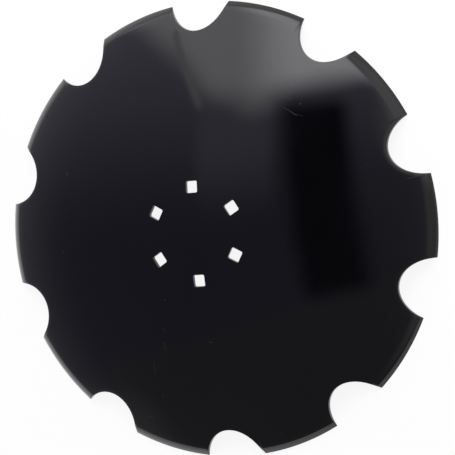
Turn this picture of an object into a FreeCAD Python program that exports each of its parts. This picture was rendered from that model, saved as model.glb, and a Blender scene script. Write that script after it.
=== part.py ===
import FreeCAD, Part
import math
import os

import Sketcher
from FreeCAD import Placement, Rotation, Vector

# Notched harrow disc blade: one spherically dished steel plate. It lies on its sharp rim with the
# dome up: z = 0 is the plane of the rim, the origin is on the disc's axis, +Z points out of the dome.
# All lengths are in millimetres. A notch and a bolt hole lie on the +Y axis.

DRIVING_DIMENSIONS = [
    ("rim_radius", 255.0, "sharp rim, from the disc's axis"),
    ("concavity", 68.0, "depth of the inner face at the axis, above the rim plane"),
    ("plate_thickness", 5.0, "plate, measured across its two spherical faces"),
    ("edge_land", 0.8, "blunt height left under the bevel at the rim"),
    ("bevel_width", 7.0, "bevel ground on the domed face, in plan"),
    ("notch_count", 10, "notches around the rim"),
    ("notch_depth", 32.4, "from the rim to the bottom of each notch"),
    ("notch_half_width", 36.4, "half the notch's oval, along the rim"),
    ("notch_half_length", 46.9, "half the notch's oval, along the radius"),
    ("hole_count", 6, "square bolt holes around the axis"),
    ("hole_circle_diameter", 103.0, "circle through the bolt holes' centres"),
    ("hole_side", 13.0, "square bolt hole, side to side"),
    ("hole_corner_radius", 1.8, "rounding in the square's corners"),
]

INNER_SPHERE_RADIUS = "(dims.rim_radius ^ 2 + dims.concavity ^ 2) / (2 * dims.concavity)"
OUTER_SPHERE_RADIUS = INNER_SPHERE_RADIUS + " + dims.plate_thickness"
NOTCH_CENTRE_RADIUS = "dims.rim_radius - dims.notch_depth + dims.notch_half_length"


def make_dimension_sheet(doc):
    """Write the driving dimensions into a spreadsheet and return them as a dictionary too."""
    sheet = doc.addObject("Spreadsheet::Sheet", "dims")
    for row, (alias, value, meaning) in enumerate(DRIVING_DIMENSIONS, start=1):
        sheet.set("A%d" % row, alias)
        sheet.set("B%d" % row, str(value))
        sheet.set("C%d" % row, meaning)
        sheet.setAlias("B%d" % row, alias)
    doc.recompute()
    return {alias: value for alias, value, meaning in DRIVING_DIMENSIONS}


def origin_feature(body, role):
    """Return the body's own origin plane or axis with this role."""
    for feature in body.Origin.OriginFeatures:
        if feature.Role == role:
            return feature
    raise RuntimeError("no origin feature " + role)


def new_sketch(body, name, plane_role):
    """Add a sketch on one of the body's origin planes."""
    sketch = body.newObject("Sketcher::SketchObject", name)
    sketch.AttachmentSupport = [(origin_feature(body, plane_role), "")]
    sketch.MapMode = "FlatFace"
    return sketch


def bind(sketch, constraint, expression):
    """Add a constraint whose value is read from the sheet by an expression."""
    index = sketch.addConstraint(constraint)
    sketch.setExpression("Constraints[%d]" % index, expression)


def add_polar_pattern(doc, body, name, original, count_alias):
    """Repeat a pocket around the disc's axis and make the pattern the body's tip."""
    pattern = body.newObject("PartDesign::PolarPattern", name)
    pattern.Originals = [original]
    pattern.Axis = (origin_feature(body, "Z_Axis"), [""])
    pattern.Angle = 360.0
    pattern.setExpression("Occurrences", "dims." + count_alias)
    body.Tip = pattern
    doc.recompute()


def add_dished_plate(doc, body, size):
    """Revolve the plate's section: two concentric arcs, the bevel and the land at the rim."""
    rim = size["rim_radius"]
    inner_radius = (rim ** 2 + size["concavity"] ** 2) / (2 * size["concavity"])
    outer_radius = inner_radius + size["plate_thickness"]
    centre_height = size["concavity"] - inner_radius
    bevel_start = rim - size["bevel_width"]
    bevel_top = centre_height + math.sqrt(outer_radius ** 2 - bevel_start ** 2)

    centre = Vector(0, centre_height, 0)
    normal = Vector(0, 0, 1)
    right_angle = math.pi / 2
    inner_circle = Part.Circle(centre, normal, inner_radius)
    outer_circle = Part.Circle(centre, normal, outer_radius)
    inner_end = math.atan2(-centre_height, rim)
    outer_end = math.atan2(bevel_top - centre_height, bevel_start)

    section = new_sketch(body, "plate_section", "XZ_Plane")
    inner_arc = section.addGeometry(Part.ArcOfCircle(inner_circle, inner_end, right_angle))
    outer_arc = section.addGeometry(Part.ArcOfCircle(outer_circle, outer_end, right_angle))
    land = section.addGeometry(Part.LineSegment(Vector(rim, 0, 0), Vector(rim, size["edge_land"], 0)))
    bevel = section.addGeometry(
        Part.LineSegment(Vector(rim, size["edge_land"], 0), Vector(bevel_start, bevel_top, 0))
    )
    axis_line = section.addGeometry(
        Part.LineSegment(
            Vector(0, size["concavity"] + size["plate_thickness"], 0), Vector(0, size["concavity"], 0)
        )
    )

    origin, start, end, middle = -1, 1, 2, 3
    horizontal_axis, vertical_axis = -1, -2
    section.addConstraint([
        Sketcher.Constraint("Coincident", inner_arc, start, land, start),
        Sketcher.Constraint("Coincident", land, end, bevel, start),
        Sketcher.Constraint("Coincident", bevel, end, outer_arc, start),
        Sketcher.Constraint("Coincident", outer_arc, end, axis_line, start),
        Sketcher.Constraint("Coincident", axis_line, end, inner_arc, end),
        Sketcher.Constraint("Coincident", inner_arc, middle, outer_arc, middle),
        Sketcher.Constraint("PointOnObject", inner_arc, middle, vertical_axis),
        Sketcher.Constraint("PointOnObject", inner_arc, end, vertical_axis),
        Sketcher.Constraint("PointOnObject", outer_arc, end, vertical_axis),
        Sketcher.Constraint("PointOnObject", inner_arc, start, horizontal_axis),
        Sketcher.Constraint("Vertical", land),
    ])
    bind(section, Sketcher.Constraint("DistanceX", origin, 1, inner_arc, start, rim), "dims.rim_radius")
    bind(section, Sketcher.Constraint("Radius", inner_arc, inner_radius), INNER_SPHERE_RADIUS)
    bind(section, Sketcher.Constraint("Radius", outer_arc, outer_radius), OUTER_SPHERE_RADIUS)
    bind(section, Sketcher.Constraint("DistanceY", land, start, land, end, size["edge_land"]), "dims.edge_land")
    bind(
        section,
        Sketcher.Constraint("DistanceX", bevel, end, bevel, start, size["bevel_width"]),
        "dims.bevel_width",
    )

    plate = body.newObject("PartDesign::Revolution", "dished_plate")
    plate.Profile = section
    plate.ReferenceAxis = (section, ["V_Axis"])
    plate.Angle = 360.0
    body.Tip = plate
    doc.recompute()


def add_rim_notches(doc, body, size):
    """Cut one oval notch on +Y straight along the disc's axis and repeat it around the rim."""
    centre_radius = size["rim_radius"] - size["notch_depth"] + size["notch_half_length"]
    centre = Vector(0, centre_radius, 0)
    far_end = centre + Vector(0, size["notch_half_length"], 0)
    side = centre - Vector(size["notch_half_width"], 0, 0)

    outline = new_sketch(body, "notch_outline", "XY_Plane")
    oval = outline.addGeometry(Part.Ellipse(far_end, side, centre))
    outline.exposeInternalGeometry(oval)
    long_axis, short_axis = oval + 1, oval + 2
    origin, vertical_axis, middle = -1, -2, 3
    outline.addConstraint([
        Sketcher.Constraint("PointOnObject", oval, middle, vertical_axis),
        Sketcher.Constraint("Vertical", long_axis),
    ])
    bind(
        outline,
        Sketcher.Constraint("DistanceY", origin, 1, oval, middle, centre_radius),
        NOTCH_CENTRE_RADIUS,
    )
    bind(
        outline,
        Sketcher.Constraint("Distance", long_axis, 2 * size["notch_half_length"]),
        "2 * dims.notch_half_length",
    )
    bind(
        outline,
        Sketcher.Constraint("Distance", short_axis, 2 * size["notch_half_width"]),
        "2 * dims.notch_half_width",
    )

    notch = body.newObject("PartDesign::Pocket", "notch")
    notch.Profile = outline
    notch.Type = "ThroughAll"
    notch.Reversed = True
    body.Tip = notch
    doc.recompute()
    add_polar_pattern(doc, body, "rim_notches", notch, "notch_count")


def add_bolt_holes(doc, body, size):
    """Punch one rounded square square-on through the dome on +Y and repeat it around the axis."""
    outline = new_sketch(body, "hole_outline", "XY_Plane")
    tilt = "asin(dims.hole_circle_diameter / 2 / (%s))" % OUTER_SPHERE_RADIUS
    outline.AttachmentOffset = Placement(Vector(0, 0, 0), Rotation(Vector(-1, 0, 0), 1.0))
    outline.setExpression("AttachmentOffset.Base.y", "dims.hole_circle_diameter / 2")
    outline.setExpression(
        "AttachmentOffset.Base.z",
        "dims.concavity - (%s) + (%s) * cos(%s)" % (INNER_SPHERE_RADIUS, OUTER_SPHERE_RADIUS, tilt),
    )
    outline.setExpression("AttachmentOffset.Rotation.Angle", tilt)

    half = size["hole_side"] / 2
    radius = size["hole_corner_radius"]
    inset = half - radius
    corner_signs = [(1, 1), (-1, 1), (-1, -1), (1, -1)]
    arcs = []
    for turn, (sign_x, sign_y) in enumerate(corner_signs):
        circle = Part.Circle(Vector(sign_x * inset, sign_y * inset, 0), Vector(0, 0, 1), radius)
        first = turn * math.pi / 2
        arcs.append(outline.addGeometry(Part.ArcOfCircle(circle, first, first + math.pi / 2)))
    start, end, middle = 1, 2, 3
    sides = []
    for turn in range(4):
        this_arc, next_arc = arcs[turn], arcs[(turn + 1) % 4]
        side = Part.LineSegment(
            outline.getPoint(this_arc, end), outline.getPoint(next_arc, start)
        )
        sides.append(outline.addGeometry(side))
        outline.addConstraint([
            Sketcher.Constraint("Tangent", this_arc, end, sides[turn], start),
            Sketcher.Constraint("Tangent", sides[turn], end, next_arc, start),
        ])
    top, left, bottom, right = sides
    outline.addConstraint([
        Sketcher.Constraint("Horizontal", top),
        Sketcher.Constraint("Horizontal", bottom),
        Sketcher.Constraint("Vertical", left),
        Sketcher.Constraint("Vertical", right),
        Sketcher.Constraint("Equal", arcs[0], arcs[1]),
        Sketcher.Constraint("Equal", arcs[0], arcs[2]),
        Sketcher.Constraint("Equal", arcs[0], arcs[3]),
        Sketcher.Constraint("Symmetric", arcs[0], middle, arcs[2], middle, -1, 1),
    ])
    bind(outline, Sketcher.Constraint("Radius", arcs[0], radius), "dims.hole_corner_radius")
    bind(
        outline,
        Sketcher.Constraint("DistanceX", left, end, right, start, 2 * half),
        "dims.hole_side",
    )
    bind(
        outline,
        Sketcher.Constraint("DistanceY", bottom, start, top, end, 2 * half),
        "dims.hole_side",
    )
    doc.recompute()

    hole = body.newObject("PartDesign::Pocket", "bolt_hole")
    hole.Profile = outline
    hole.Type = "ThroughAll"
    body.Tip = hole
    doc.recompute()
    add_polar_pattern(doc, body, "bolt_holes", hole, "hole_count")


def check_document(doc):
    """Stop if any object of the document has failed."""
    for item in doc.Objects:
        for fault in ("Invalid", "Error"):
            if fault in item.State:
                raise RuntimeError("%s is %s" % (item.Name, fault))


def check_cut(name, before, body, least):
    """Stop if a cut took away less metal than it must; return the new volume in cubic mm."""
    after = body.Shape.Volume
    print("%s: %.0f mm3 removed" % (name, before - after))
    if before - after < least:
        raise RuntimeError(name + " cut nothing")
    return after


def export_sub_part(body):
    """Write a sub-part's solid to its STEP file."""
    shape = body.Shape
    if shape.isNull() or not shape.isValid() or len(shape.Solids) != 1:
        raise RuntimeError(body.Label + " is not one valid solid")
    path = os.path.join("parts", body.Label + ".step")
    shape.exportStep(path)
    box = shape.BoundBox
    print("%s: %.1f x %.1f x %.1f mm, %.0f mm3" % (path, box.XLength, box.YLength, box.ZLength, shape.Volume))


def make_disc_blade(doc, size):
    """Build the blade: the dished plate, then its notches, then its bolt holes."""
    blade = doc.addObject("PartDesign::Body", "disc_blade")
    blade.Label = "disc_blade"
    add_dished_plate(doc, blade, size)
    volume = blade.Shape.Volume
    least_notch = size["notch_half_width"] * size["notch_depth"] * size["plate_thickness"] / 2
    least_hole = (size["hole_side"] - size["hole_corner_radius"]) ** 2 * size["plate_thickness"]
    add_rim_notches(doc, blade, size)
    volume = check_cut("rim notches", volume, blade, size["notch_count"] * least_notch)
    add_bolt_holes(doc, blade, size)
    check_cut("bolt holes", volume, blade, size["hole_count"] * least_hole)
    return blade


def main():
    """Build the document, check it and write the blade's STEP file."""
    doc = FreeCAD.newDocument("harrow_disc_blade")
    size = make_dimension_sheet(doc)
    blade = make_disc_blade(doc, size)
    doc.recompute()
    check_document(doc)
    os.makedirs("parts", exist_ok=True)
    export_sub_part(blade)


main()
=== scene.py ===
"""Notched harrow disc blade: one dished steel plate in black gloss paint, lying dome up on a pale floor.

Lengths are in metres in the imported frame: the disc's axis is +Z, the sharp rim lies on z = 0, and a
notch and a bolt hole lie on the +Y axis.
"""
import logging
import math
from dataclasses import dataclass, field
from enum import Enum

import bpy
import bmesh
import numpy as np
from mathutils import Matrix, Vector


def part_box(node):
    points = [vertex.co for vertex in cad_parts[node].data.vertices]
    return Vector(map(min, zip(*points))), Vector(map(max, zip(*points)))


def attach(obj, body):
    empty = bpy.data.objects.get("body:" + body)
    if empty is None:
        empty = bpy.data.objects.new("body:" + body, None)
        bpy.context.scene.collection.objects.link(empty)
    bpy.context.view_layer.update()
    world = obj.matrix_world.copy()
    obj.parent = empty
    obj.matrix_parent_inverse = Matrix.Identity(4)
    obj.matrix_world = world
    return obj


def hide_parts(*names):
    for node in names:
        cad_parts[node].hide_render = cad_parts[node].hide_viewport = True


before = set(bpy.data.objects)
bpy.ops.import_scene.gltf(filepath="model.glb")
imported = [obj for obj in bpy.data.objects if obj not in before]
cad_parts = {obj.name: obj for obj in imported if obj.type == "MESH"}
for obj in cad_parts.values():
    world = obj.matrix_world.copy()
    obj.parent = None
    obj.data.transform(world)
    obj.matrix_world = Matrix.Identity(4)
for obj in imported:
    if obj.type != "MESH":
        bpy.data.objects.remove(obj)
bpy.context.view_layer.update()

log = logging.getLogger("harrow_disc_blade")
NODE = "disc_blade"
MM = 0.001


# ---------------------------------------------------------------------------------------------
# Sizes of the blade
# ---------------------------------------------------------------------------------------------


@dataclass(frozen=True)
class BladeSize:
    """The blade's driving dimensions.

    Attributes:
        rim_radius: radius of the sharp rim, read from the frame.
        dome_height: height of the dome's crown over the rim, read from the frame.
        thickness: plate thickness across the two spherical faces.
        edge_land: blunt height left under the bevel at the rim.
        bevel_width: width in plan of the bevel ground on the dome.
        notch_count: notches around the rim.
        notch_depth: from the rim to the bottom of a notch.
        notch_half_width: half the notch's oval, along the rim.
        notch_half_length: half the notch's oval, along the radius.
        tip_radius: rounding in plan where a notch meets the rim.
        hole_count: square bolt holes around the axis.
        hole_circle_radius: from the axis to a bolt hole's centre, on the outer face.
        hole_side: square bolt hole, side to side.
        hole_corner_radius: rounding in the square's corners.
        crease_blend: gap between dome and cone below which the two run into each other.
        roll_width: width of the strip that rolls over towards the cut edge.
        roll_drop: how far the strip has sunk at the edge.
        edge_break: rounding that the paint leaves on the cut edges.
    """

    rim_radius: float
    dome_height: float
    thickness: float = 5.0 * MM
    edge_land: float = 0.8 * MM
    bevel_width: float = 7.0 * MM
    notch_count: int = 10
    notch_depth: float = 32.4 * MM
    notch_half_width: float = 36.4 * MM
    notch_half_length: float = 46.9 * MM
    tip_radius: float = 0.5 * MM
    hole_count: int = 6
    hole_circle_radius: float = 51.5 * MM
    hole_side: float = 13.0 * MM
    hole_corner_radius: float = 1.8 * MM
    crease_blend: float = 3.2 * MM
    roll_width: float = 4.0 * MM
    roll_drop: float = 0.25 * MM
    edge_break: float = 0.25 * MM

    @classmethod
    def from_frame(cls, node: str) -> "BladeSize":
        """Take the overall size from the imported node's box.

        Args:
            node: name of the CAD node.

        Returns:
            The blade's sizes.
        """
        low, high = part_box(node)
        return cls(rim_radius=(high.x - low.x) / 2, dome_height=high.z)

    @property
    def inner_sphere(self) -> float:
        """Radius of the hollow face, from its rim and its depth."""
        depth = self.dome_height - self.thickness
        return (self.rim_radius**2 + depth**2) / (2 * depth)

    @property
    def outer_sphere(self) -> float:
        """Radius of the domed face, concentric with the hollow one."""
        return self.inner_sphere + self.thickness

    @property
    def sphere_centre(self) -> float:
        """Height of the centre that both faces share."""
        return self.dome_height - self.outer_sphere

    @property
    def bevel_start(self) -> float:
        """Radius at which the bevel leaves the dome."""
        return self.rim_radius - self.bevel_width

    def outer_height(self, radius: np.ndarray) -> np.ndarray:
        """Height of the domed side at a radius: the lower of the sphere and the bevel's cone.

        Near the crease, where the two differ by less than crease_blend, a parabola joins them.

        Args:
            radius: distances from the axis.

        Returns:
            Heights over the rim plane.
        """
        sphere = self.sphere_centre + np.sqrt(self.outer_sphere**2 - radius**2)
        top = self.sphere_centre + math.sqrt(self.outer_sphere**2 - self.bevel_start**2)
        share = (radius - self.bevel_start) / self.bevel_width
        cone = top + (self.edge_land - top) * share
        overlap = np.maximum(self.crease_blend - np.abs(sphere - cone), 0.0)
        return np.minimum(sphere, cone) - overlap**2 / (4 * self.crease_blend)

    def roll(self, distance: np.ndarray) -> np.ndarray:
        """How far the domed side has sunk next to a cut edge.

        Args:
            distance: distances in plan from the edge.

        Returns:
            The sinkage, which grows with the square of the way into the strip.
        """
        return self.roll_drop * np.clip(1 - distance / self.roll_width, 0, 1) ** 2

    def inner_height(self, radius: np.ndarray) -> np.ndarray:
        """Height of the hollow side at a radius, on its sphere.

        Args:
            radius: distances from the axis.

        Returns:
            Heights over the rim plane.
        """
        return self.sphere_centre + np.sqrt(self.inner_sphere**2 - radius**2)


# ---------------------------------------------------------------------------------------------
# Surfaces on grids
# ---------------------------------------------------------------------------------------------


@dataclass
class Sheet:
    """One grid of points, rows by columns, with a wear value for each point."""

    points: np.ndarray
    wear: np.ndarray
    closed: bool = True

    def quads(self, first: int) -> np.ndarray:
        """Corner indices of the grid's cells.

        Args:
            first: index of the sheet's first point in the joined list.

        Returns:
            An array of four indices a cell.
        """
        rows, columns = self.points.shape[:2]
        index = first + np.arange(rows * columns).reshape(rows, columns)
        if self.closed:
            index = np.hstack([index, index[:, :1]])
        corners = (index[:-1, :-1], index[1:, :-1], index[1:, 1:], index[:-1, 1:])
        return np.stack(corners, axis=-1).reshape(-1, 4)


def weld(sheets: list[Sheet], tolerance: float = 1e-7) -> tuple[np.ndarray, np.ndarray, np.ndarray]:
    """Join sheets along the points they share.

    Points are rounded to the tolerance and equal ones become one point.

    Args:
        sheets: the grids to join.
        tolerance: grid on which points count as equal.

    Returns:
        The points, their wear, and the cells as four indices each.
    """
    points = np.vstack([sheet.points.reshape(-1, 3) for sheet in sheets])
    wear = np.concatenate([sheet.wear.reshape(-1) for sheet in sheets])
    starts = np.cumsum([0] + [sheet.wear.size for sheet in sheets[:-1]])
    quads = np.vstack([sheet.quads(start) for sheet, start in zip(sheets, starts)])
    keys = np.round(points / tolerance).astype(np.int64)
    _, kept, where = np.unique(keys, axis=0, return_index=True, return_inverse=True)
    return points[kept], wear[kept], where.reshape(-1)[quads]


def make_mesh_object(name: str, sheets: list[Sheet]) -> bpy.types.Object:
    """Make one closed, smooth object from welded sheets, its faces pointing outwards.

    Args:
        name: the object's name.
        sheets: the grids to join.

    Returns:
        The linked object, with a point attribute "wear".
    """
    points, wear, quads = weld(sheets)
    pole = quads[:, 0] == quads[:, 3]
    faces = quads[~pole].tolist() + quads[pole][:, :3].tolist()
    mesh = bpy.data.meshes.new(name)
    mesh.from_pydata(points.tolist(), [], faces)
    mesh.validate()
    attribute = mesh.attributes.new("wear", "FLOAT", "POINT")
    attribute.data.foreach_set("value", wear.astype(np.float32))
    work = bmesh.new()
    work.from_mesh(mesh)
    bmesh.ops.recalc_face_normals(work, faces=work.faces)
    work.to_mesh(mesh)
    work.free()
    mesh.polygons.foreach_set("use_smooth", np.ones(len(mesh.polygons), bool))
    piece = bpy.data.objects.new(name, mesh)
    bpy.context.scene.collection.objects.link(piece)
    return piece


def quarter_round(radius: float, steps: int) -> tuple[np.ndarray, np.ndarray]:
    """Setback and drop along a quarter circle that rounds an edge.

    At angle a from 0 to 90 degrees the setback is radius (1 - sin a) and the drop radius (1 - cos a).

    Args:
        radius: the rounding's radius.
        steps: segments in the quarter.

    Returns:
        The setbacks from the wall and the drops below the face.
    """
    angle = np.linspace(0.0, math.pi / 2, steps + 1)
    return radius * (1 - np.sin(angle)), radius * (1 - np.cos(angle))


# ---------------------------------------------------------------------------------------------
# The blade
# ---------------------------------------------------------------------------------------------


@dataclass
class RimOutline:
    """The rim's closed plan outline: lobes of the rim circle, oval notches and small round tips."""

    size: BladeSize
    notch_steps: int = 14
    tip_steps: int = 6
    lobe_steps: int = 10

    def half_period(self) -> tuple[np.ndarray, np.ndarray]:
        """Points and outward normals from the bottom of the notch on +Y to the middle of the next lobe.

        The oval is (w sin t, c - l cos t). The tip's circle touches the oval and the rim circle
        from inside the metal; its centre is where the oval's offset meets the rim's offset. The
        lobe is an arc of the rim circle.

        Returns:
            Plan points and unit normals that point out of the metal.
        """
        size = self.size
        width, length = size.notch_half_width, size.notch_half_length
        centre = size.rim_radius - size.notch_depth + length

        def oval(turn: np.ndarray) -> tuple[np.ndarray, np.ndarray]:
            point = np.stack([width * np.sin(turn), centre - length * np.cos(turn)], axis=-1)
            inward = np.stack([-length * np.sin(turn), width * np.cos(turn)], axis=-1)
            return point, inward / np.linalg.norm(inward, axis=-1, keepdims=True)

        search = np.linspace(0.3, 1.5, 4001)
        point, normal = oval(search)
        reach = np.linalg.norm(point - size.tip_radius * normal, axis=-1)
        last_turn = np.interp(size.rim_radius - size.tip_radius, reach, search)

        notch_point, notch_normal = oval(np.linspace(0.0, last_turn, self.notch_steps + 1))
        tip_centre = notch_point[-1] - size.tip_radius * notch_normal[-1]
        first = math.atan2(notch_normal[-1][1], notch_normal[-1][0])
        last = math.atan2(tip_centre[1], tip_centre[0])
        turn = first + ((last - first + math.pi) % (2 * math.pi) - math.pi) * np.linspace(
            0, 1, self.tip_steps + 1
        )
        tip_normal = np.stack([np.cos(turn), np.sin(turn)], axis=-1)
        tip_point = tip_centre + size.tip_radius * tip_normal

        lobe_turn = np.linspace(last, math.pi / 2 - math.pi / size.notch_count, self.lobe_steps + 1)
        lobe_normal = np.stack([np.cos(lobe_turn), np.sin(lobe_turn)], axis=-1)
        lobe_point = size.rim_radius * lobe_normal
        points = np.vstack([notch_point, tip_point[1:], lobe_point[1:]])
        normals = np.vstack([notch_normal, tip_normal[1:], lobe_normal[1:]])
        return points, normals

    def closed(self) -> tuple[np.ndarray, np.ndarray]:
        """The whole outline, counter-clockwise from the notch on +Y.

        Returns:
            Plan points and outward normals.
        """
        points, normals = self.half_period()
        flip = np.array([-1.0, 1.0])
        period = 2 * math.pi / self.size.notch_count
        turn = period * np.arange(self.size.notch_count)
        leading = np.stack([points * flip, normals * flip])
        trailing = turned(np.stack([points, normals]), np.array([period]))[:, 0]
        one = np.concatenate([leading[:, :-1], trailing[:, :0:-1]], axis=1)
        whole = turned(one, turn)
        return whole[0].reshape(-1, 2), whole[1].reshape(-1, 2)

    @property
    def columns(self) -> int:
        """Points around the outline."""
        return 2 * self.size.notch_count * (self.notch_steps + self.tip_steps + self.lobe_steps)


def turned(vectors: np.ndarray, angles: np.ndarray) -> np.ndarray:
    """Turn plan vectors about the axis by each of several angles.

    Args:
        vectors: an array (kinds, points, 2).
        angles: angles in radians, counter-clockwise.

    Returns:
        An array (kinds, angles, points, 2).
    """
    cosine, sine = np.cos(angles)[None, :, None], np.sin(angles)[None, :, None]
    across, along = vectors[:, None, :, 0], vectors[:, None, :, 1]
    return np.stack([across * cosine - along * sine, across * sine + along * cosine], axis=-1)


def polar(radius: np.ndarray, angle: np.ndarray) -> np.ndarray:
    """Plan points at a radius and an angle.

    Args:
        radius: distances from the axis.
        angle: angles from +X in radians.

    Returns:
        The points.
    """
    return np.stack([radius * np.cos(angle), radius * np.sin(angle)], axis=-1)


@dataclass
class DiscBlade:
    """The dished blade: a rim sheet, one sheet around each bolt hole, and two crown caps.

    Attributes:
        size: the blade's driving dimensions.
        ring_radius: circle where the rim sheet meets the sectors around the bolt holes.
        crown_radius: circle where those sectors meet the crown caps.
        dome_rows: rows on the dome from the ring to the crease.
        crease_rows: rows across the soft crease.
        bevel_rows: rows from the crease to the cut edge.
        hollow_rows: rows on the hollow side of the rim sheet.
        round_steps: segments in an edge's quarter round.
        side_steps: columns along a sector's radial side.
        crown_steps: columns along a sector's share of the crown circle.
        hole_rows: rows from a bolt hole to its sector's border.
        hole_crowding: power that draws those rows towards the hole.
        cap_rows: rows of a crown cap.
        support: half the width of the strip that holds the crease rows.
        outline: the rim's plan outline.
    """

    size: BladeSize
    ring_radius: float = 84.0 * MM
    crown_radius: float = 24.0 * MM
    dome_rows: int = 22
    crease_rows: int = 8
    bevel_rows: int = 5
    hollow_rows: int = 16
    round_steps: int = 4
    side_steps: int = 30
    crown_steps: int = 20
    hole_rows: int = 12
    hole_crowding: float = 1.8
    cap_rows: int = 6
    support: float = 4.0 * MM
    outline: RimOutline = field(init=False)

    def __post_init__(self) -> None:
        """Prepare the rim's outline."""
        self.outline = RimOutline(self.size)

    def raised(self, plan: np.ndarray, outer: bool) -> np.ndarray:
        """Lift plan points onto one of the two faces.

        Args:
            plan: plan points.
            outer: True for the domed side, False for the hollow side.

        Returns:
            Points in space.
        """
        radius = np.linalg.norm(plan, axis=-1)
        height = self.size.outer_height(radius) if outer else self.size.inner_height(radius)
        return np.concatenate([plan, height[..., None]], axis=-1)

    def rim_sheet(self) -> Sheet:
        """The plate from the ring outwards over the bevel, round the cut edge and back underneath.

        Each column is a straight plan line from the ring to the outline. On the dome its rows crowd
        where the bevel starts, so that they follow the soft crease. The edge is a quarter round, a
        wall along the axis and a second quarter round, carried along the outline.

        Returns:
            The closed sheet.
        """
        size = self.size
        edge, normal = self.outline.closed()
        count = len(edge)
        start = math.pi / 2
        ring = polar(np.full(count, self.ring_radius), start + 2 * math.pi * np.arange(count) / count)
        setback, drop = quarter_round(size.edge_break, self.round_steps)

        brink = edge - setback[0] * normal
        span = brink - ring
        length = np.linalg.norm(span, axis=-1)
        along = np.einsum("ij,ij->i", ring, span)
        gap = np.einsum("ij,ij->i", ring, ring) - size.bevel_start**2
        crease = (-along + np.sqrt(along**2 - length**2 * gap)) / length**2
        step = self.support / length
        crease = np.minimum(crease, 1 - 1.2 * step)

        inner = np.linspace(0, 1, self.dome_rows + 1)[:, None] * (crease - step)
        band = crease + np.linspace(-1, 1, self.crease_rows + 1)[1:-1, None] * step
        outer = crease + step + np.linspace(0, 1, self.bevel_rows + 1)[:, None] * (1 - crease - step)
        share = np.vstack([inner, band, outer])[..., None]
        dome = self.raised(ring + share * span, outer=True)
        facing = np.einsum("ij,ij->i", span, normal)
        dome[..., 2] -= size.roll((1 - share[..., 0]) * facing)

        top_round = self.raised(edge - setback[:, None, None] * normal, outer=True)
        top_round[..., 2] -= size.roll_drop + drop[:, None]
        low_round = self.raised(edge - setback[::-1, None, None] * normal, outer=False)
        low_round[..., 2] += drop[::-1, None]
        middle = (top_round[-1:] + low_round[:1]) / 2

        share = np.linspace(1, 0, self.hollow_rows + 1)[:, None, None]
        hollow = self.raised(ring + share * span, outer=False)
        rows = [dome, top_round[1:], middle, low_round, hollow[1:]]
        points = np.vstack(rows)
        worn = [np.zeros(len(dome)), np.ones(self.round_steps), np.ones(1), np.ones(self.round_steps + 1)]
        wear = np.concatenate(worn + [np.zeros(self.hollow_rows)])
        return Sheet(points, np.repeat(wear[:, None], count, axis=1))

    def sector_border(self) -> np.ndarray:
        """Plan border of the sector around the bolt hole on +Y, clockwise from its outer left corner.

        It runs along the ring, down one radial side, back along the crown and up the other side.

        Returns:
            Plan points.
        """
        half = math.pi / self.size.hole_count
        arc_steps = self.outline.columns // self.size.hole_count
        sweep = math.pi / 2 + half * np.linspace(1, -1, arc_steps + 1)
        back = math.pi / 2 + half * np.linspace(-1, 1, self.crown_steps + 1)
        down = np.linspace(self.ring_radius, self.crown_radius, self.side_steps + 1)
        return np.vstack([
            polar(self.ring_radius, sweep)[:-1],
            polar(down, sweep[-1])[:-1],
            polar(self.crown_radius, back)[:-1],
            polar(down[::-1], sweep[0])[:-1],
        ])

    def square_outline(self, grow: np.ndarray) -> np.ndarray:
        """Rounded square around the hole's own axis, in step with the sector's border.

        Each side's middle half is straight and its outer quarters run round half a corner.

        Args:
            grow: how far each row of the outline stands outside the hole's wall.

        Returns:
            Points (rows, columns, 2) in the hole's own plane.
        """
        half = self.size.hole_side / 2
        inset = half - self.size.hole_corner_radius
        arc_steps = self.outline.columns // self.size.hole_count
        share = np.concatenate([
            side + np.arange(steps) / steps
            for side, steps in enumerate([arc_steps, self.side_steps, self.crown_steps, self.side_steps])
        ])
        side, along = np.floor(share), share % 1.0
        lean = np.clip((np.abs(along - 0.5) - 0.25) / 0.25, 0, 1) * np.sign(along - 0.5) * math.pi / 4
        slide = np.clip((along - 0.5) / 0.25, -1, 1) * inset
        radius = self.size.hole_corner_radius + grow[:, None]
        across = slide + radius * np.sin(lean)
        out = inset + radius * np.cos(lean)
        turn = -side * math.pi / 2
        return np.stack([
            across * np.cos(turn) - out * np.sin(turn),
            across * np.sin(turn) + out * np.cos(turn),
        ], axis=-1)

    def on_hole_axis(self, flat: np.ndarray, sphere: float, depth: np.ndarray) -> np.ndarray:
        """Place points of the hole's plane in space.

        The hole's axis runs through the spheres' centre, so a point (x, y) lies at x along the rim,
        y up the slope and sqrt(sphere^2 - x^2 - y^2) - depth along the axis.

        Args:
            flat: points (rows, columns, 2) in the hole's plane.
            sphere: radius of the face that the depth is taken from.
            depth: depth of each row below that face.

        Returns:
            Points in space.
        """
        size = self.size
        lean = math.asin(size.hole_circle_radius / size.outer_sphere)
        across, up = flat[..., 0], flat[..., 1]
        out = np.sqrt(sphere**2 - across**2 - up**2) - depth[:, None]
        return np.stack([
            across,
            up * math.cos(lean) + out * math.sin(lean),
            size.sphere_centre + out * math.cos(lean) - up * math.sin(lean),
        ], axis=-1)

    def hole_sheet(self) -> Sheet:
        """The sector around one bolt hole: dome, edge, wall, edge and hollow side.

        Its faces are straight plan lines between the hole's outline and the sector's border, with
        rows that crowd towards the hole.

        Returns:
            The closed sheet around the hole on +Y.
        """
        size = self.size
        border = self.sector_border()
        setback, drop = quarter_round(size.edge_break, self.round_steps)
        square = self.square_outline(setback)
        top = self.on_hole_axis(square, size.outer_sphere, drop)
        low = self.on_hole_axis(square[::-1], size.inner_sphere, -drop[::-1])
        middle = (top[-1:] + low[:1]) / 2

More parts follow.
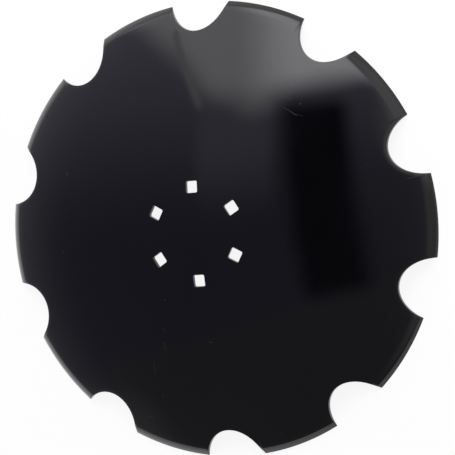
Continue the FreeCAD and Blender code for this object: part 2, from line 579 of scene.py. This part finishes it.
        share = np.linspace(0, 1, self.hole_rows + 1)[:, None, None] ** self.hole_crowding
        dome = self.raised(top[0, :, :2] + share[::-1] * (border - top[0, :, :2]), outer=True)
        hollow = self.raised(low[-1, :, :2] + share * (border - low[-1, :, :2]), outer=False)
        points = np.vstack([dome, top[1:], middle, low, hollow[1:]])
        worn = np.concatenate([
            np.zeros(len(dome)),
            np.ones(2 * self.round_steps + 2),
            np.zeros(self.hole_rows),
        ])
        return Sheet(points, np.repeat(worn[:, None], len(border), axis=1))

    def hole_sheets(self) -> list[Sheet]:
        """The same sheet turned to every bolt hole.

        Returns:
            One sheet for each hole.
        """
        first = self.hole_sheet()
        angles = 2 * math.pi * np.arange(self.size.hole_count) / self.size.hole_count
        plan = turned(first.points[..., :2].reshape(1, -1, 2), angles)[0]
        height = np.broadcast_to(first.points[..., 2].reshape(1, -1, 1), plan.shape[:2] + (1,))
        shape = (len(angles),) + first.points.shape
        placed = np.concatenate([plan, height], axis=-1).reshape(shape)
        return [Sheet(points, first.wear) for points in placed]

    def crown_cap(self, outer: bool) -> Sheet:
        """Polar grid over the crown, from the axis to the crown circle.

        Args:
            outer: True for the domed side, False for the hollow side.

        Returns:
            The closed sheet, whose first row is the pole.
        """
        count = self.crown_steps * self.size.hole_count
        angle = math.pi / 2 + 2 * math.pi * np.arange(count) / count
        radius = np.linspace(0, self.crown_radius, self.cap_rows + 1)[:, None]
        points = self.raised(polar(radius, angle), outer)
        return Sheet(points, np.zeros(points.shape[:2]))

    def build(self) -> bpy.types.Object:
        """Join the sheets into the blade.

        Returns:
            The blade's object.
        """
        sheets = [self.rim_sheet(), *self.hole_sheets(), self.crown_cap(True), self.crown_cap(False)]
        piece = make_mesh_object("painted_blade", sheets)
        piece.data.materials.append(BlackPaint().material())
        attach(piece, "root")
        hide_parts(NODE)
        return piece


# ---------------------------------------------------------------------------------------------
# Shader nodes
# ---------------------------------------------------------------------------------------------


@dataclass
class Wiring:
    """Short calls for placing and joining shader nodes in one tree."""

    tree: bpy.types.NodeTree

    def node(self, kind: str, **settings: object) -> bpy.types.Node:
        """Add a node and set its properties.

        Args:
            kind: the node's type name.
            settings: property values.

        Returns:
            The node.
        """
        made = self.tree.nodes.new(kind)
        for name, value in settings.items():
            setattr(made, name, value)
        return made

    def feed(self, socket: bpy.types.NodeSocket, source: object) -> None:
        """Link an output to an input, or set the input's value.

        Args:
            socket: the input.
            source: an output socket, or a plain value.
        """
        if isinstance(source, bpy.types.NodeSocket):
            self.tree.links.new(source, socket)
        else:
            socket.default_value = source

    def math(self, operation: str, *values: object, clamp: bool = False) -> bpy.types.NodeSocket:
        """One arithmetic step.

        Args:
            operation: the math node's operation.
            values: its inputs.
            clamp: True to hold the result between 0 and 1.

        Returns:
            The result.
        """
        made = self.node("ShaderNodeMath", operation=operation, use_clamp=clamp)
        for socket, value in zip(made.inputs, values):
            self.feed(socket, value)
        return made.outputs[0]

    def vector(self, operation: str, *values: object) -> bpy.types.Node:
        """One vector step.

        Args:
            operation: the vector math node's operation.
            values: its inputs.

        Returns:
            The node.
        """
        made = self.node("ShaderNodeVectorMath", operation=operation)
        for socket, value in zip(made.inputs, values):
            self.feed(socket, value)
        return made

    def length(self, across: object, along: object) -> bpy.types.NodeSocket:
        """Length of a plan vector.

        Args:
            across: its first component.
            along: its second component.

        Returns:
            The length.
        """
        squares = [self.math("POWER", part, 2.0) for part in (across, along)]
        return self.math("SQRT", self.math("ADD", *squares))

    def ramp(self, value: object, low: float, high: float, to_low: object = 0.0,
             to_high: object = 1.0) -> bpy.types.NodeSocket:
        """Smooth step of a value from one range to another.

        Args:
            value: the input.
            low: where the step starts.
            high: where it ends.
            to_low: result at the start.
            to_high: result at the end.

        Returns:
            The result.
        """
        made = self.node("ShaderNodeMapRange", interpolation_type="SMOOTHSTEP")
        for socket, given in zip(made.inputs, (value, low, high, to_low, to_high)):
            self.feed(socket, given)
        return made.outputs[0]

    def blend(self, share: object, first: object, second: object) -> bpy.types.NodeSocket:
        """Mix two colours.

        Args:
            share: part of the second colour.
            first: a colour.
            second: another colour.

        Returns:
            The mixed colour.
        """
        made = self.node("ShaderNodeMix", data_type="RGBA")
        self.feed(made.inputs[0], share)
        self.feed(made.inputs[6], first)
        self.feed(made.inputs[7], second)
        return made.outputs[2]

    def noise(self, place: object, scale: float, detail: float = 3.0,
              roughness: float = 0.5) -> bpy.types.NodeSocket:
        """Noise between 0 and 1.

        Args:
            place: coordinates.
            scale: features a metre.
            detail: octaves.
            roughness: strength of the finer octaves.

        Returns:
            The noise value.
        """
        made = self.node("ShaderNodeTexNoise")
        self.feed(made.inputs["Vector"], place)
        self.feed(made.inputs["Scale"], scale)
        self.feed(made.inputs["Detail"], detail)
        self.feed(made.inputs["Roughness"], roughness)
        return made.outputs[0]


@dataclass(frozen=True)
class Scratch:
    """A fine mark in the paint between two plan points, all in millimetres."""

    start: tuple[float, float]
    end: tuple[float, float]
    half_width: float
    strength: float


@dataclass(frozen=True)
class BlackPaint:
    """Black gloss paint on steel: faint orange peel, dust, scratches, and thin paint on cut edges.

    Attributes:
        film: the paint's own colour.
        haze: its colour where it is slightly clouded.
        dust: colour of dust and scratches.
        thin_film: colour where the paint is thin on a cut edge.
        gloss_roughness: roughness of clean paint.
        scuffed_roughness: roughness of dust, scratches and thin paint.
        lacquer_ior: the paint's refractive index.
        cloud_scale: clouded patches a metre.
        chip_scale: patches of thin paint a metre of edge.
        dust_scale: cells a metre, a few of which hold a speck.
        wave_scale: waves a metre left in the plate by the press.
        wave_height: how high they stand.
        peel_scale: dimples a metre in the paint.
        peel_height: how deep they are.
        mark_height: how high dust and scratch edges stand.
        scratches: the marks that stand out; one whose ends meet is a speck.
    """

    film: tuple[float, float, float, float] = (0.0007, 0.0007, 0.0010, 1.0)
    haze: tuple[float, float, float, float] = (0.0013, 0.0013, 0.0017, 1.0)
    dust: tuple[float, float, float, float] = (0.030, 0.030, 0.033, 1.0)
    thin_film: tuple[float, float, float, float] = (0.020, 0.020, 0.022, 1.0)
    gloss_roughness: float = 0.06
    scuffed_roughness: float = 0.34
    lacquer_ior: float = 1.5
    cloud_scale: float = 9.0
    chip_scale: float = 160.0
    dust_scale: float = 90.0
    wave_scale: float = 14.0
    wave_height: float = 0.08 * MM
    peel_scale: float = 420.0
    peel_height: float = 0.0010 * MM
    mark_height: float = 0.02 * MM
    scratches: tuple[Scratch, ...] = (
        Scratch((143.0, 173.0), (138.5, 158.0), 0.35, 0.35),
        Scratch((138.5, 158.0), (133.0, 143.0), 0.30, 0.25),
        Scratch((103.0, 142.0), (113.0, 136.5), 0.30, 0.3),
        Scratch((106.0, 128.5), (117.0, 121.0), 0.30, 0.4),
        Scratch((117.0, 121.0), (126.0, 118.0), 0.25, 0.3),
        Scratch((112.5, 124.0), (119.0, 119.0), 0.25, 0.5),
        Scratch((114.3, 151.5), (114.3, 151.5), 1.1, 0.9),
        Scratch((123.0, 131.3), (123.0, 131.3), 0.8, 1.0),
        Scratch((183.7, 57.5), (183.7, 57.5), 0.8, 0.6),
        Scratch((-162.8, 77.5), (-161.5, 74.0), 0.7, 0.6),
        Scratch((-175.2, -9.9), (-175.2, -11.5), 1.0, 0.5),
        Scratch((-44.7, -70.8), (-44.7, -70.8), 0.9, 0.9),
        Scratch((-53.0, -102.0), (-50.0, -105.0), 0.6, 0.5),
        Scratch((-53.5, -118.0), (-53.5, -127.0), 0.8, 0.4),
        Scratch((1.0, -119.5), (4.5, -121.0), 0.5, 0.8),
        Scratch((-72.0, -140.0), (-73.0, -153.0), 0.7, 0.4),
        Scratch((-70.4, -180.6), (-70.4, -180.6), 0.9, 0.8),
        Scratch((-93.3, -204.4), (-90.5, -205.5), 0.7, 0.6),
        Scratch((-78.0, -203.0), (-78.0, -203.0), 0.9, 0.5),
        Scratch((59.7, -227.8), (59.7, -227.8), 0.9, 0.6),
    )

    def material(self) -> bpy.types.Material:
        """Build the paint's material.

        Returns:
            The material.
        """
        made = bpy.data.materials.new("black_gloss_paint")
        made.use_nodes = True
        wires = Wiring(made.node_tree)
        shader = made.node_tree.nodes["Principled BSDF"]
        place = wires.node("ShaderNodeTexCoord").outputs["Object"]
        wear = wires.node("ShaderNodeAttribute", attribute_name="wear").outputs["Fac"]

        cloud = wires.ramp(wires.noise(place, self.cloud_scale, 4.0), 0.35, 0.7)
        marks = wires.math("MAXIMUM", self.dusting(wires, place), self.scratching(wires, place))
        chipped = wires.ramp(wires.noise(place, self.chip_scale, 4.0), 0.42, 0.62)
        worn = wires.math("MULTIPLY", wear, chipped)

        colour = wires.blend(cloud, self.film, self.haze)
        colour = wires.blend(marks, colour, self.dust)
        colour = wires.blend(worn, colour, self.thin_film)
        wires.feed(shader.inputs["Base Color"], colour)

        dull = wires.math("MAXIMUM", marks, wires.math("MULTIPLY", worn, 0.6))
        smooth = wires.math("MULTIPLY_ADD", cloud, 0.02, self.gloss_roughness)
        rough = wires.math("MULTIPLY_ADD", dull, self.scuffed_roughness - self.gloss_roughness, smooth)
        wires.feed(shader.inputs["Roughness"], rough)
        wires.feed(shader.inputs["Normal"], self.relief(wires, place, marks))
        shader.inputs["IOR"].default_value = self.lacquer_ior
        return made

    def dusting(self, wires: Wiring, place: bpy.types.NodeSocket) -> bpy.types.NodeSocket:
        """Scattered dust specks.

        Args:
            wires: the material's wiring.
            place: object coordinates.

        Returns:
            How much dust lies at a point, from 0 to 1.
        """
        cells = wires.node("ShaderNodeTexVoronoi", feature="F1")
        wires.feed(cells.inputs["Vector"], place)
        wires.feed(cells.inputs["Scale"], self.dust_scale)
        chance = wires.node("ShaderNodeSeparateColor")
        wires.feed(chance.inputs[0], cells.outputs["Color"])
        picked = wires.ramp(chance.outputs[0], 0.90, 0.98, 0.0, 0.7)
        dot = wires.ramp(cells.outputs["Distance"], 0.025, 0.05, 1.0, 0.0)
        return wires.math("MULTIPLY", picked, dot)

    def scratching(self, wires: Wiring, place: bpy.types.NodeSocket) -> bpy.types.NodeSocket:
        """The listed scratches and specks on the domed side.

        Args:
            wires: the material's wiring.
            place: object coordinates.

        Returns:
            How strong a mark is at a point, from 0 to 1.
        """
        flat = wires.vector("MULTIPLY", place, (1.0, 1.0, 0.0)).outputs[0]
        marked = 0.0
        for scratch in self.scratches:
            start = np.array([*scratch.start, 0.0]) * MM
            run = np.array([*scratch.end, 0.0]) * MM - start
            length = float(run @ run)
            offset = wires.vector("SUBTRACT", flat, tuple(start)).outputs[0]
            if length:
                along = wires.vector("DOT_PRODUCT", offset, tuple(run / length)).outputs[1]
                along = wires.math("MULTIPLY", along, 1.0, clamp=True)
                reach = wires.node("ShaderNodeVectorMath", operation="SCALE")
                wires.feed(reach.inputs[0], tuple(run))
                wires.feed(reach.inputs["Scale"], along)
                offset = wires.vector("SUBTRACT", offset, reach.outputs[0]).outputs[0]
            distance = wires.vector("LENGTH", offset).outputs[1]
            width = scratch.half_width * MM
            mark = wires.ramp(distance, 0.4 * width, width, scratch.strength, 0.0)
            marked = wires.math("MAXIMUM", marked, mark)
        facing = wires.node("ShaderNodeSeparateXYZ")
        wires.feed(facing.inputs[0], wires.node("ShaderNodeTexCoord").outputs["Normal"])
        return wires.math("MULTIPLY", marked, wires.ramp(facing.outputs[2], 0.0, 0.2))

    def relief(self, wires: Wiring, place: bpy.types.NodeSocket,
               marks: bpy.types.NodeSocket) -> bpy.types.NodeSocket:
        """Orange peel, slow waves of the pressed plate and standing marks, as one bump.

        Args:
            wires: the material's wiring.
            place: object coordinates.
            marks: where dust and scratches stand.

        Returns:
            The bumped normal.
        """
        waves = wires.math("MULTIPLY", wires.noise(place, self.wave_scale, 2.0), self.wave_height)
        peel = wires.math("MULTIPLY", wires.noise(place, self.peel_scale, 2.0), self.peel_height)
        standing = wires.math("MULTIPLY", marks, self.mark_height)
        height = wires.math("ADD", wires.math("ADD", waves, peel), standing)
        bump = wires.node("ShaderNodeBump")
        wires.feed(bump.inputs["Strength"], 1.0)
        wires.feed(bump.inputs["Distance"], 1.0)
        wires.feed(bump.inputs["Height"], height)
        return bump.outputs[0]


# ---------------------------------------------------------------------------------------------
# Studio
# ---------------------------------------------------------------------------------------------


class PanelTone(Enum):
    """Tints of the studio's panels."""

    NEUTRAL = (1.01, 1.0, 1.05)
    WARM = (1.0, 1.0, 1.10)
    COOL = (1.05, 1.0, 1.27)
    VIOLET = (1.08, 1.0, 1.42)

    def at(self, radiance: float) -> tuple[float, float, float, float]:
        """The tint at a brightness.

        Args:
            radiance: the brightness, where 1 is white.

        Returns:
            The colour.
        """
        red, green, blue = self.value
        return red * radiance, green * radiance, blue * radiance, 1.0


@dataclass(frozen=True)
class StudioPanel:
    """A rectangle on the studio's dome that fades outwards.

    Places on the dome are map coordinates (x, y) / (1 + z) of a direction, so 0 is straight up
    and 1 is the horizon.

    Attributes:
        name: what the panel stands for.
        centre: its middle on the dome's map.
        half_size: half its fully bright width and height there.
        fade: how far it fades out beyond them, across and along.
        radiance: how bright it is, where 1 is white.
        tone: its tint.
        turn: its turn on the map, in degrees counter-clockwise.
    """

    name: str
    centre: tuple[float, float]
    half_size: tuple[float, float]
    fade: tuple[float, float]
    radiance: float
    tone: PanelTone = PanelTone.NEUTRAL
    turn: float = 0.0

    def mask(self, wires: Wiring, across: bpy.types.NodeSocket,
             along: bpy.types.NodeSocket) -> bpy.types.NodeSocket:
        """Where the panel covers the dome.

        Args:
            wires: the world's wiring.
            across: the map's first coordinate.
            along: the map's second coordinate.

        Returns:
            A mask from 0 to 1 that falls off with the distance from the bright rectangle.
        """
        turn = math.radians(self.turn)
        right = wires.math("SUBTRACT", across, self.centre[0])
        up = wires.math("SUBTRACT", along, self.centre[1])
        directions = ((math.cos(turn), math.sin(turn)), (-math.sin(turn), math.cos(turn)))
        squares = []
        for (first, second), half, fade in zip(directions, self.half_size, self.fade):
            offset = wires.math("MULTIPLY_ADD", up, second, wires.math("MULTIPLY", right, first))
            beyond = wires.math("SUBTRACT", wires.math("ABSOLUTE", offset), half)
            share = wires.math("DIVIDE", wires.math("MAXIMUM", beyond, 0.0), fade)
            squares.append(wires.math("POWER", share, 2.0))
        distance = wires.math("SQRT", wires.math("ADD", *squares))
        return wires.ramp(distance, 0.0, 1.0, 1.0, 0.0)


@dataclass
class Studio:
    """Pale floor, white backdrop, and a dim room with soft panels overhead.

    Attributes:
        room_radiance: brightness of the bare room.
        panels: the panels, each laid over the ones before it.
        daylight_from: bearing of the bright side of the room, in degrees from +X.
        daylight: brightness near the horizon on the dark side and on the bright side.
        horizon_from: distance on the dome's map where the room starts to brighten.
        horizon_full: distance where it would be fully bright.
        floor_radius: radius of the floor.
        floor_sides: sides of the floor's outline.
        floor_colour: colour of the floor's matt share, which takes the shadow.
        floor_glow: share of the floor that shows as the plain backdrop.
        lamp_size: diameter of the overhead lamp.
        lamp_power: its power in watts.
        lamp_place: where it hangs.
        lamp_lean: its turns about X, Y and Z, in degrees.
    """

    room_radiance: float = 0.163
    panels: tuple[StudioPanel, ...] = (
        StudioPanel("far_wall", (-0.25, 0.95), (0.60, 0.41), (0.40, 0.59), 0.60, PanelTone.COOL),
        StudioPanel("table_edge", (0.185, -0.63), (0.62, 0.43), (0.10, 0.04), 0.19, PanelTone.WARM, 12.0),
        StudioPanel("low_corner", (-0.62, -0.60), (0.08, 0.10), (0.15, 0.14), 0.30, PanelTone.WARM),
        StudioPanel("column", (-0.10, 0.33), (0.07, 0.12), (0.045, 0.22), 0.47, PanelTone.COOL),
        StudioPanel("right_wall", (0.85, 0.05), (0.15, 0.50), (0.52, 0.45), 0.58),
        StudioPanel("right_window", (0.62, 0.47), (0.26, 0.26), (0.14, 0.14), 1.20),
        StudioPanel("side_window", (-0.187, 0.692), (0.33, 0.23), (0.10, 0.10), 1.80, turn=-35.0),
        StudioPanel("softbox", (-0.187, 0.697), (0.130, 0.300), (0.10, 0.13), 1.95, turn=29.0),
        StudioPanel("softbox_core", (0.060, 0.684), (0.052, 0.312), (0.18, 0.09), 4.0, turn=10.0),
        StudioPanel("window_bar", (-0.25, 0.38), (0.002, 0.11), (0.012, 0.03), 1.10, turn=29.0),
        StudioPanel("black_flag", (0.110, 0.045), (0.047, 0.20), (0.065, 0.06), 0.03, PanelTone.VIOLET, 4.0),
    )
    daylight_from: float = 115.0
    daylight: tuple[float, float] = (0.12, 1.3)
    horizon_from: float = 0.58
    horizon_full: float = 1.63
    floor_radius: float = 6.0
    floor_sides: int = 96
    floor_colour: tuple[float, float, float, float] = (0.9, 0.9, 0.9, 1.0)
    floor_glow: float = 0.9
    lamp_size: float = 1.6
    lamp_power: float = 40.0
    lamp_place: tuple[float, float, float] = (0.2, 1.6, 2.0)
    lamp_lean: tuple[float, float, float] = (-38.0, 5.0, 0.0)

    def daylight_at(self, wires: Wiring, across: bpy.types.NodeSocket, along: bpy.types.NodeSocket,
                    away: bpy.types.NodeSocket) -> bpy.types.NodeSocket:
        """Brightness of the room near the horizon in one bearing.

        Args:
            wires: the world's wiring.
            across: the map's first coordinate.
            along: the map's second coordinate.
            away: distance from the map's middle.

        Returns:
            The brightness.
        """
        bearing = math.radians(self.daylight_from)
        first = wires.math("MULTIPLY", across, math.cos(bearing))
        towards = wires.math("MULTIPLY_ADD", along, math.sin(bearing), first)
        share = wires.math("DIVIDE", towards, wires.math("MAXIMUM", away, 1e-6))
        return wires.ramp(share, -0.9, 0.6, *self.daylight)

    def world(self) -> None:
        """Make the world: white behind the floor, and the dim room and its panels in reflections."""
        world = bpy.data.worlds.new("studio")
        bpy.context.scene.world = world
        world.use_nodes = True
        world.node_tree.nodes.clear()
        wires = Wiring(world.node_tree)
        axis = wires.node("ShaderNodeSeparateXYZ")
        wires.feed(axis.inputs[0], wires.node("ShaderNodeTexCoord").outputs["Generated"])
        lift = wires.math("MAXIMUM", wires.math("ADD", axis.outputs[2], 1.0), 0.2)
        across = wires.math("DIVIDE", axis.outputs[0], lift)
        along = wires.math("DIVIDE", axis.outputs[1], lift)
        away = wires.length(across, along)

        colour = PanelTone.VIOLET.at(self.room_radiance)
        for panel in self.panels:
            mask = panel.mask(wires, across, along)
            colour = wires.blend(mask, colour, panel.tone.at(panel.radiance))
        low = wires.ramp(away, self.horizon_from, self.horizon_full)
        glow = wires.node("ShaderNodeCombineColor")
        daylight = self.daylight_at(wires, across, along, away)
        for socket in glow.inputs:
            wires.feed(socket, daylight)
        colour = wires.blend(low, colour, glow.outputs[0])
        path = wires.node("ShaderNodeLightPath")
        seen = wires.math("MAXIMUM", path.outputs["Is Camera Ray"], path.outputs["Is Transmission Ray"])
        colour = wires.blend(seen, colour, (1.0, 1.0, 1.0, 1.0))
        shine = wires.node("ShaderNodeBackground")
        wires.feed(shine.inputs["Color"], colour)
        out = wires.node("ShaderNodeOutputWorld")
        wires.feed(out.inputs["Surface"], shine.outputs[0])

    def floor(self) -> bpy.types.Object:
        """Make the round pale floor at the rim's plane.

        Returns:
            The floor.
        """
        angle = np.linspace(0, 2 * math.pi, self.floor_sides, endpoint=False)
        ring = np.concatenate([polar(self.floor_radius, angle), np.zeros((len(angle), 1))], axis=-1)
        mesh = bpy.data.meshes.new("floor")
        mesh.from_pydata(ring.tolist(), [], [list(range(len(ring)))])
        mesh.materials.append(self.floor_material())
        made = bpy.data.objects.new("floor", mesh)
        bpy.context.scene.collection.objects.link(made)
        return made

    def floor_material(self) -> bpy.types.Material:
        """Matt floor that also shows as the white backdrop, to the camera, in the paint and through glass.

        Returns:
            The material.
        """
        made = bpy.data.materials.new("pale_floor")
        made.use_nodes = True
        wires = Wiring(made.node_tree)
        made.node_tree.nodes.clear()
        path = wires.node("ShaderNodeLightPath")
        seen = wires.math("MAXIMUM", path.outputs["Is Camera Ray"], path.outputs["Is Glossy Ray"])
        seen = wires.math("MAXIMUM", seen, path.outputs["Is Transmission Ray"])
        glow = wires.node("ShaderNodeEmission")
        wires.feed(glow.inputs["Strength"], 1.0)
        matt = wires.node("ShaderNodeBsdfDiffuse")
        wires.feed(matt.inputs["Color"], self.floor_colour)
        mix = wires.node("ShaderNodeMixShader")
        wires.feed(mix.inputs[0], wires.math("MULTIPLY", seen, self.floor_glow))
        wires.feed(mix.inputs[1], matt.outputs[0])
        wires.feed(mix.inputs[2], glow.outputs[0])
        out = wires.node("ShaderNodeOutputMaterial")
        wires.feed(out.inputs["Surface"], mix.outputs[0])
        return made

    def key_lamp(self) -> bpy.types.Object:
        """Make the overhead lamp that lights the floor and draws the soft shadow.

        Returns:
            The lamp.
        """
        lamp = bpy.data.lights.new("key_lamp", "AREA")
        lamp.shape = "DISK"
        lamp.size = self.lamp_size
        lamp.energy = self.lamp_power
        made = bpy.data.objects.new("key_lamp", lamp)
        made.location = self.lamp_place
        made.rotation_euler = [math.radians(angle) for angle in self.lamp_lean]
        made.visible_glossy = False
        bpy.context.scene.collection.objects.link(made)
        return made


@dataclass(frozen=True)
class Camera:
    """A long lens that looks down on the dome, leaning to its +X side.

    Attributes:
        lean: camera's turns about X, Y and Z, in degrees.
        offset: where the camera stands beside the disc's axis, sideways and upwards in its own view.
        distance: from the rim plane's centre, along the lens axis.
        lens: focal length in millimetres on a 36 mm sensor.
    """

    lean: tuple[float, float, float] = (-3.9, 21.8, -5.08)
    offset: tuple[float, float] = (0.00915, 0.0025)
    distance: float = 2.589
    lens: float = 183.2

    def build(self) -> bpy.types.Object:
        """Make the camera and look through it.

        Returns:
            The camera.
        """
        data = bpy.data.cameras.new("camera")
        data.lens = self.lens
        data.sensor_width = 36.0
        data.clip_end = 50.0
        made = bpy.data.objects.new("camera", data)
        made.rotation_euler = [math.radians(angle) for angle in self.lean]
        made.location = made.rotation_euler.to_matrix() @ Vector((*self.offset, self.distance))
        bpy.context.scene.collection.objects.link(made)
        bpy.context.scene.camera = made
        return made


def main() -> None:
    """Build the blade, the studio and the camera, and report each piece."""
    logging.basicConfig(level=logging.INFO, format="%(message)s")
    bpy.context.scene.view_settings.view_transform = "Standard"
    blade = DiscBlade(BladeSize.from_frame(NODE)).build()
    log.info("%s: %d faces", blade.name, len(blade.data.polygons))
    studio = Studio()
    studio.world()
    log.info("%s at z = 0", studio.floor().name)
    log.info("%s", studio.key_lamp().name)
    log.info("%s", Camera().build().name)


if __name__ == "__main__":
    main()
